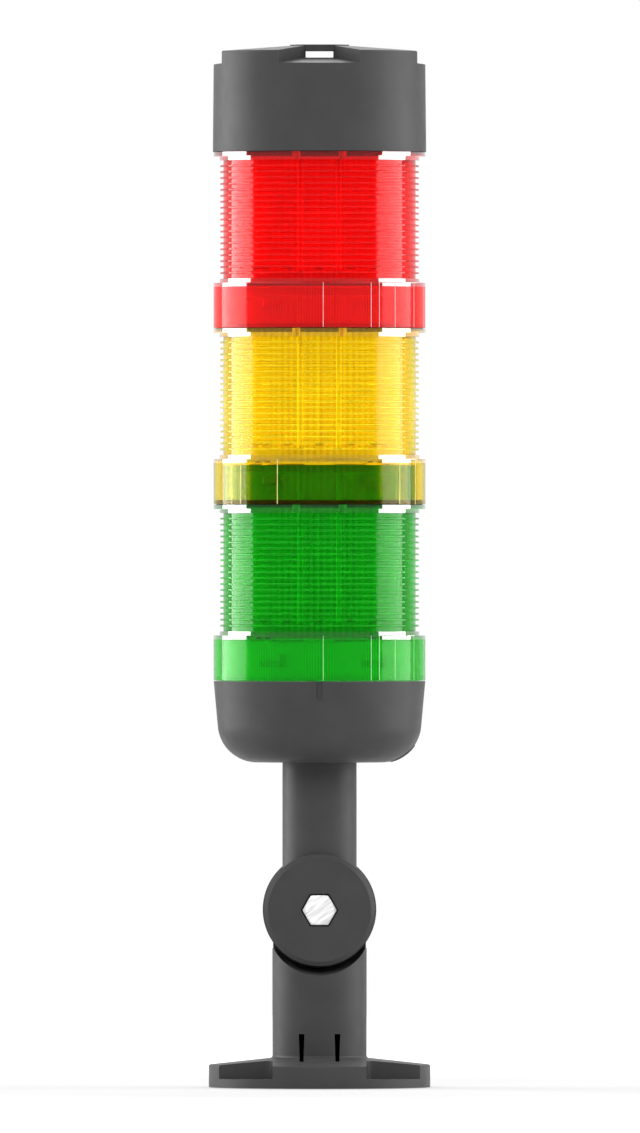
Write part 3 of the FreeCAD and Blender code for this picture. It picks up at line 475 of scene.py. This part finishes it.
def lens_section(height):
    """The closed line round a lens's wall, up the outside from its bottom edge, down the bore."""
    outside = [
        (COLLAR - SOFT, 0),
        (COLLAR, SOFT),
        (COLLAR, COLLAR_TOP - RIM),
        (COLLAR, COLLAR_TOP - SOFT),
        (COLLAR - SOFT, COLLAR_TOP),
        (BAND, COLLAR_TOP),
        (BAND, LOW_BAND_TOP),
        (ROOT, LOW_BAND_END),
    ]
    top = [
        (ROOT, HIGH_BAND_START),
        (BAND, BAND_LOW),
        (BAND, FLANGE_LOW),
        (FLANGE, FLANGE_LOW),
        (FLANGE, FLANGE_TOP),
        (SPIGOT, FLANGE_TOP),
        (SPIGOT, height - SOFT),
        (SPIGOT - SOFT, height),
        (BORE, height),
    ]
    inside = [
        (BORE, FLUTES_END),
        (BORE, FLUTES_HIGH),
        (BORE, FLUTES_LOW),
        (BORE, FLUTES_FADE),
        (BORE, SHOULDER),
        (COLLAR_BORE, SHOULDER),
        (COLLAR_BORE, REBATE),
        (LIP_OUTER, REBATE),
        (LIP_OUTER, 0),
    ]
    return outside + rib_line() + top + inside


print("section points", len(lens_section(71.05 * MM)))

# %% [markdown]
# ## Helpers for spun pieces
# Most fine pieces are turned shapes. One helper spins a closed line, one sets which edges stay
# hard, and one makes the piece, puts it on its body and gives it its finish.

# %% Spin, smooth and settle
FLUTE_CREASE = 5.0  # the angle, in degrees, from which an edge between flutes is hard


def spin_line(mesh, points, steps, turn=2 * math.pi, start=0.0):
    """A closed line of (radius, height) points spun about Z; a part turn gives closed ends."""
    corners = [mesh.verts.new((r * math.cos(start), r * math.sin(start), z)) for r, z in points]
    closed = abs(turn - 2 * math.pi) < 1e-6
    if closed:
        pairs = zip(corners, corners[1:] + corners[:1])
        geometry = corners + [mesh.edges.new((a, b)) for a, b in pairs]
    else:
        geometry = [mesh.faces.new(corners)]
    bmesh.ops.spin(
        mesh, geom=geometry, cent=(0, 0, 0), axis=(0, 0, 1), angle=turn, steps=steps,
        use_merge=closed, use_duplicate=False,
    )


def smooth_mesh(mesh, crease=30.0, inside=0.0):
    """Smooth faces, with hard edges at sharp corners and, within a radius, at the flutes."""
    for face in mesh.faces:
        face.smooth = True
    for edge in mesh.edges:
        if len(edge.link_faces) == 2:
            a, b = (corner.co for corner in edge.verts)
            upright = abs(a.x - b.x) + abs(a.y - b.y) < 0.1 * MM
            near = upright and a.xy.length <= inside and b.xy.length <= inside
            edge.smooth = edge.calc_face_angle(0) < math.radians(FLUTE_CREASE if near else crease)


def settle(mesh, name, finish, body):
    """Turns a bmesh into a piece that rides on a body and takes its finish from a slot."""
    bmesh.ops.remove_doubles(mesh, verts=mesh.verts, dist=1e-7)
    bmesh.ops.recalc_face_normals(mesh, faces=mesh.faces)
    data = bpy.data.meshes.new(name)
    mesh.to_mesh(data)
    mesh.free()
    piece = bpy.data.objects.new(name, data)
    bpy.context.scene.collection.objects.link(piece)
    for one in finish if isinstance(finish, (list, tuple)) else [finish]:
        data.materials.append(one)
    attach(piece, body)
    print(name, "faces", len(data.polygons))
    return piece


# %% [markdown]
# ## Build the lenses
# The flutes inside come from moving every other column of the bore outwards. Lugs and ledges are
# short turned solids at the angles where the frame has them, and a stop stands beside each ledge.
# Thin pale pieces stand upright on each collar's wall, and on the green tier's bore, as painted
# glints. Each face is then sorted by the finish that it takes.

# %% Build the three lenses
STEPS = 2 * FLUTES
FLUTE = 0.1 * MM
DEGREES_PER_STEP = 2
LUG_CENTRES = [front + half for front in (-119.0, -58.0) for half in (0, 180)]
# Inner radius, outer radius, low and high of each kind of block, then its sweep in degrees.
LUG, LUG_SWEEP = (SPIGOT - 0.3 * MM, 32.75 * MM, 64.95 * MM, 67.15 * MM), 11
LEDGE, LEDGE_SWEEP = (32.2 * MM, 33.4 * MM, 4.5 * MM, 6.5 * MM), 14
STOP, STOP_SWEEP, STOP_TURN = (32.2 * MM, 33.4 * MM, 4.5 * MM, 8.7 * MM), 3, 8
COLLAR_LINE, COLLAR_LINE_SWEEP = (34.8 * MM, 35.0 * MM, 0.1 * MM, 14.8 * MM), 0.32
BORE_LINE, BORE_LINE_SWEEP = (29.6 * MM, 29.75 * MM, 16.5 * MM, 55.0 * MM), 0.5
# Angles, in degrees, of the painted glint lines: thin pale pieces where the side lamps' streaks
# fall.
GLINT_LINE_ANGLES = (-156.3, -88.0, -60.9, -55.7, -44.6, -27.2, -11.8, 31.0, 68.0, 112.0, 154.0)
COLLAR_LINES = {
    "green": GLINT_LINE_ANGLES,
    "yellow": (-146.0, -138.0, -113.4, -40.9, -25.4, 24.0, 61.0, 119.0, 157.0),
    "red": GLINT_LINE_ANGLES,
}
BORE_LINES = {"green": (-96.0, -93.5, -89.7, -73.6, -69.6)}
RIBBED, COLLARED, BANDED, LEDGED, GLINT_LINED = range(5)


def flute_bore(mesh):
    """Pushes every other column of the bore out, which leaves upright V flutes."""
    low, high = (FLUTES_FADE + FLUTES_LOW) / 2, (FLUTES_HIGH + FLUTES_END) / 2
    for corner in mesh.verts:
        radius = math.hypot(corner.co.x, corner.co.y)
        if abs(radius - BORE) < 1e-6 and low < corner.co.z < high:
            column = round(math.atan2(corner.co.y, corner.co.x) / (2 * math.pi / STEPS))
            if column % 2:
                corner.co.x *= (BORE + FLUTE) / BORE
                corner.co.y *= (BORE + FLUTE) / BORE


def ring_block(mesh, inner, outer, low, high, centre, sweep):
    """A short piece of ring between two radii and heights, centred on an angle in degrees."""
    points = [(inner, low), (outer, low), (outer, high), (inner, high)]
    steps = max(2, round(sweep / DEGREES_PER_STEP))
    spin_line(mesh, points, steps, math.radians(sweep), math.radians(centre - sweep / 2))


def finish_at(centre):
    """Which finish a face of the plain lens takes, from where its middle is."""
    if centre.z < COLLAR_TOP - RIM:
        return COLLARED
    low_band = centre.z < RIBS_LOW - 0.6 * MM
    high_band = BAND_LOW - 0.2 * MM < centre.z < FLANGE_TOP + 0.1 * MM
    return BANDED if (low_band or high_band) and centre.xy.length > SPIGOT else RIBBED


def mark_new_faces(mesh, plain, kind):
    """Gives a kind of finish to the faces that were added since plain was noted."""
    for face in set(mesh.faces) - plain:
        face.material_index = kind


def lens_mesh():
    """The mesh of a lens that sits at height zero, with its faces sorted by finish."""
    low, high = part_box("green_lens")
    mesh = bmesh.new()
    spin_line(mesh, lens_section(high.z - low.z), STEPS)
    flute_bore(mesh)
    for centre in LUG_CENTRES:
        ring_block(mesh, *LUG, centre, LUG_SWEEP)
    for face in mesh.faces:
        face.material_index = finish_at(face.calc_center_median())
    plain = set(mesh.faces)
    for centre in LUG_CENTRES:
        ring_block(mesh, *LEDGE, centre, LEDGE_SWEEP)
        ring_block(mesh, *STOP, centre + STOP_TURN, STOP_SWEEP)
    mark_new_faces(mesh, plain, LEDGED)
    smooth_mesh(mesh, inside=BORE + 2 * FLUTE)
    return mesh


def build_lens(tier, pattern):
    """One lens at its own height, standing for the frame's."""
    mesh = pattern.copy()
    plain = set(mesh.faces)
    for centre in COLLAR_LINES[tier]:
        ring_block(mesh, *COLLAR_LINE, centre, COLLAR_LINE_SWEEP)
    for centre in BORE_LINES.get(tier, ()):
        ring_block(mesh, *BORE_LINE, centre, BORE_LINE_SWEEP)
    mark_new_faces(mesh, plain, GLINT_LINED)
    bmesh.ops.translate(mesh, verts=mesh.verts, vec=(0, 0, seat[tier]))
    kinds = (lens_finish, collar_finish, band_finish, ledge_finish, glint_line_finish)
    finishes = [kind[tier] for kind in kinds]
    piece = settle(mesh, f"{tier}_ribbed_lens", finishes, f"{tier}_module")
    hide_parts(f"{tier}_lens")


pattern = lens_mesh()
for tier in TIERS:
    build_lens(tier, pattern)
pattern.free()

# %% [markdown]
# ## Lip seals
# Where a collar stands on the tier below, a near-black ring sits in the rebate at its foot. It is
# painted shade: the dark line of the gap between the tiers, seen through the clear wall. Its
# outline is in millimetres.

# %% Add the painted gap shade rings
GAP_RING_SECTION = [
    (33.1, -0.15), (34.0, -0.15), (34.3, 0.1), (34.3, 1.3),
    (34.1, 1.35), (33.25, 1.35), (33.1, 1.2),
]
GAP_RING_STEPS = 120
for tier in TIERS[1:]:
    gap_ring = bmesh.new()
    spin_line(gap_ring, [(r * MM, seat[tier] + z * MM) for r, z in GAP_RING_SECTION], GAP_RING_STEPS)
    smooth_mesh(gap_ring)
    settle(gap_ring, f"{tier}_painted_gap_ring", gap_shade_finish, f"{tier}_module")

# %% [markdown]
# ## Lamps and joints of solder
# Each light source is a square package with a small clear dome that spreads its light. The brass
# rods pass through the board and are soldered there, which leaves a hollow-sided cone round each.
# Both are small turned shapes, made once and set round a ring. A ring's starting angle is read off
# the CAD node that it sits on. Their outlines are in millimetres.

# %% Add the domes and the solder
LEDS, LED_RING, RODS, ROD_RING = 12, 21.0 * MM, 4, 9.0 * MM
DOME = [(0.0, 0.0), (1.2, 0.0), (1.16, 0.25), (1.0, 0.52), (0.75, 0.75), (0.4, 0.9), (0.0, 0.95)]
CONE = [
    (0.92, -0.02), (2.0, -0.02), (1.6, 0.12), (1.3, 0.32), (1.1, 0.62), (0.95, 1.05), (0.92, 1.05),
]


def ring_phase(node, count):
    """The angle of the first of a node's equal pieces, which stand round the Z axis."""
    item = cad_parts[node]
    spots = [item.matrix_world @ corner.co for corner in item.data.vertices]
    return cmath.phase(sum(cmath.exp(1j * count * math.atan2(p.y, p.x)) for p in spots)) / count


def turned_ring(outline, radius, height, count, phase, steps=16):
    """Copies of one small turned shape, set round a ring at a height."""
    mesh = bmesh.new()
    for place in range(count):
        angle = phase + place * 2 * math.pi / count
        one = bmesh.new()
        spin_line(one, [(r * MM, z * MM) for r, z in outline], steps)
        bmesh.ops.remove_doubles(one, verts=one.verts, dist=1e-7)
        offset = (radius * math.cos(angle), radius * math.sin(angle), height)
        bmesh.ops.translate(one, verts=one.verts, vec=offset)
        carrier = bpy.data.meshes.new("one_turned_shape")
        one.to_mesh(carrier)
        one.free()
        mesh.from_mesh(carrier)
        bpy.data.meshes.remove(carrier)
    smooth_mesh(mesh)
    return mesh


dome_finish = new_finish(
    "silicone_dome", (0.9, 0.92, 0.9), 0.08, IOR=1.41, Transmission_Weight=0.9
)
vary_roughness(dome_finish, 0.001, 0.05, 0.12)
solder_finish = new_finish("tin_solder", (0.72, 0.72, 0.74), 0.25, Metallic=1.0)
vary_roughness(solder_finish, 0.0006, 0.18, 0.35)
for tier in TIERS:
    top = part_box(f"{tier}_leds")[1].z
    domes = turned_ring(DOME, LED_RING, top, LEDS, ring_phase(f"{tier}_leds", LEDS))
    settle(domes, f"{tier}_led_domes", dome_finish, f"{tier}_module")
    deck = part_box(f"{tier}_led_board")[1].z
    cones = turned_ring(CONE, ROD_RING, deck, RODS, ring_phase(f"{tier}_contact_rods", RODS))
    settle(cones, f"{tier}_rod_solder", solder_finish, f"{tier}_module")

# %% [markdown]
# ## The sealing line round the bolt
# The hexagon head of the joint's bolt sits in a hexagon pocket. The narrow gap between them lies in
# shade, and a near-black flat frame paints that shade as a dark outline. It is a flat six-sided
# frame, turned in six steps about the bolt's axis, and it lies flush with the head.

# %% Lay the painted shade round the bolt
HEX_SIDES = 6
LINE_IN, LINE_OUT = 0.12 * MM, 0.4 * MM  # how far it reaches either side of the head's corners
LINE_BACK, LINE_FRONT = -0.06 * MM, 0.04 * MM
bolt_low, bolt_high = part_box("hinge_bolt")
axis_height = (bolt_low.z + bolt_high.z) / 2
half_corner = (bolt_high.x - bolt_low.x) / 2
inner, outer = half_corner - LINE_IN, half_corner + LINE_OUT
frame_line = [(inner, LINE_BACK), (outer, LINE_BACK), (outer, LINE_FRONT), (inner, LINE_FRONT)]
outline = bmesh.new()
spin_line(outline, frame_line, HEX_SIDES)
to_front = Matrix.Rotation(math.pi / 2, 3, "X")
bmesh.ops.rotate(outline, verts=outline.verts, cent=(0, 0, 0), matrix=to_front)
bmesh.ops.translate(outline, verts=outline.verts, vec=(0, bolt_low.y, axis_height))
settle(outline, "bolt_painted_gap_shade", gap_shade_finish, "arm")
print("bolt box", [round(v * 1000, 2) for v in (*bolt_low, *bolt_high)])

# %% [markdown]
# ## The room
# The tower is seen square from the front, from far away, so its edges stay parallel.

# %% Set the camera
SIDEWAYS, LOWERED, REACH = 0.00016, 0.0002, 9.348
middle = (cad_low.z + cad_high.z) / 2 - LOWERED
camera = bpy.data.objects.new("camera", bpy.data.cameras.new("camera"))
camera.location = (SIDEWAYS, -REACH, middle)
camera.rotation_euler = (math.pi / 2, 0, 0)
camera.data.lens = 900.0
camera.data.sensor_width = 36.0
camera.data.clip_start = 0.1
camera.data.clip_end = 100.0
bpy.context.scene.collection.objects.link(camera)
bpy.context.scene.camera = camera
print("camera at", tuple(round(v, 3) for v in camera.location))

# %% [markdown]
# The world is white to the camera and to clear plastic. It lights dull surfaces less, and what a
# glossy surface mirrors of it is dim on the camera's side and brighter behind the tower.

# %% Light the world
DULL_LIGHT, WHITE = 0.6, 1.0
FRONT_GLOSS, BACK_GLOSS = 0.12, 0.8
world = bpy.data.worlds.new("studio")
bpy.context.scene.world = world
world.use_nodes = True
background = world.node_tree.nodes["Background"]
background.inputs["Color"].default_value = (1, 1, 1, 1)
path = add_node(world, "ShaderNodeLightPath")
direction = add_node(world, "ShaderNodeTexCoord")
split = add_node(world, "ShaderNodeSeparateXYZ")
behind = add_node(
    world, "ShaderNodeMapRange",
    From_Min=-0.1, From_Max=0.35, To_Min=FRONT_GLOSS, To_Max=BACK_GLOSS,
)
join(world, direction, "Generated", split, 0)
join(world, split, "Y", behind, "Value")


def world_mix(factor, low, high):
    """A value that is high where factor is one and low elsewhere; either may be a socket."""
    mix = add_node(world, "ShaderNodeMix")
    join(world, path, factor, mix, "Factor")
    for entry, value in ((VALUE_A, low), (VALUE_B, high)):
        if isinstance(value, float):
            mix.inputs[entry].default_value = value
        else:
            world.node_tree.links.new(value, mix.inputs[entry])
    return mix.outputs[VALUE_OUT]


for_gloss = world_mix("Is Glossy Ray", DULL_LIGHT, behind.outputs["Result"])
for_glass = world_mix("Is Transmission Ray", for_gloss, WHITE)
for_camera = world_mix("Is Camera Ray", for_glass, WHITE)
world.node_tree.links.new(for_camera, background.inputs["Strength"])
print("world ready")

# %% [markdown]
# Two tall soft boxes at the sides put the upright streaks on every round surface. A small one high
# in front and another high behind fill in the rest.

# %% Hang the lamps


def soft_box(name, azimuth, elevation, distance, width, height, power):
    """An area lamp that faces the tower's middle from an azimuth off the front, in degrees."""
    lamp = bpy.data.lights.new(name, "AREA")
    lamp.shape = "RECTANGLE"
    lamp.size = width
    lamp.size_y = height
    lamp.energy = power
    item = bpy.data.objects.new(name, lamp)
    a, e = math.radians(azimuth), math.radians(elevation)
    away = Vector((math.sin(a) * math.cos(e), -math.cos(a) * math.cos(e), math.sin(e)))
    item.location = Vector((0, 0, middle)) + away * distance
    item.rotation_euler = away.to_track_quat("Z", "Y").to_euler()
    bpy.context.scene.collection.objects.link(item)


# Name, azimuth, elevation, distance, width, height in metres and degrees, then power in watts.
SOFT_BOXES = (
    ("left_box", -108, 0, 1.0, 0.81, 2.2, 35.0),
    ("right_box", 94, 0, 1.0, 0.83, 2.2, 31.0),
    ("front_box", -8, 30, 1.4, 1.2, 0.6, 12.0),
    ("back_box", 168, 42, 1.4, 1.0, 0.8, 8.0),
)
for box in SOFT_BOXES:
    soft_box(*box)

# %% [markdown]
# ## The floor
# A pale floor is a diffuse sheet. To the camera it is darker and glows, more so further out. That
# lifts it to white everywhere and still keeps the soft shadow at the tower's foot. It lies a little
# below the foot, so that the two never share a plane.

# %% Lay the floor
FLOOR_HALF, FLOOR_DROP = 1.5, 0.0002
SEEN_TONE, BOUNCE_TONE, NEAR_GLOW, FAR_GLOW = 0.297, 0.6, 0.42, 1.0
FADE_FROM, FADE_TO = 0.16, 0.5
floor_mesh = bmesh.new()
bmesh.ops.create_grid(floor_mesh, x_segments=4, y_segments=4, size=FLOOR_HALF)
floor_data = bpy.data.meshes.new("floor")
floor_mesh.to_mesh(floor_data)
floor_mesh.free()
for corner in floor_data.vertices:
    corner.co.z = -FLOOR_DROP
floor = bpy.data.objects.new("floor", floor_data)
bpy.context.scene.collection.objects.link(floor)
floor_finish = bpy.data.materials.new("pale_floor")
floor_finish.use_nodes = True
floor_finish.node_tree.nodes.clear()
matt = add_node(floor_finish, "ShaderNodeBsdfDiffuse")
glow = add_node(floor_finish, "ShaderNodeEmission")
seen = add_node(floor_finish, "ShaderNodeLightPath")
tone = mix_colours(floor_finish, (BOUNCE_TONE,) * 3, (SEEN_TONE,) * 3)
spot = add_node(floor_finish, "ShaderNodeTexCoord")
spread_out = add_node(floor_finish, "ShaderNodeVectorMath", operation="LENGTH")
fade = add_node(
    floor_finish, "ShaderNodeMapRange",
    From_Min=FADE_FROM, From_Max=FADE_TO, To_Min=NEAR_GLOW, To_Max=FAR_GLOW,
)
lift = add_node(floor_finish, "ShaderNodeMath", operation="MULTIPLY")
both = add_node(floor_finish, "ShaderNodeAddShader")
output = add_node(floor_finish, "ShaderNodeOutputMaterial")
join(floor_finish, seen, "Is Camera Ray", tone, "Factor")
join(floor_finish, tone, COLOUR_OUT, matt, "Color")
join(floor_finish, spot, "Object", spread_out, 0)
join(floor_finish, spread_out, "Value", fade, "Value")
join(floor_finish, seen, "Is Camera Ray", lift, 0)
join(floor_finish, fade, "Result", lift, 1)
join(floor_finish, lift, 0, glow, "Strength")
join(floor_finish, matt, 0, both, 0)
join(floor_finish, glow, 0, both, 1)
join(floor_finish, both, 0, output, "Surface")
floor.data.materials.append(floor_finish)
print("floor laid")

# %% [markdown]
# ## How colours are shown
# The colours are shown as written.

# %% Show the colours as written
bpy.context.scene.view_settings.view_transform = "Standard"
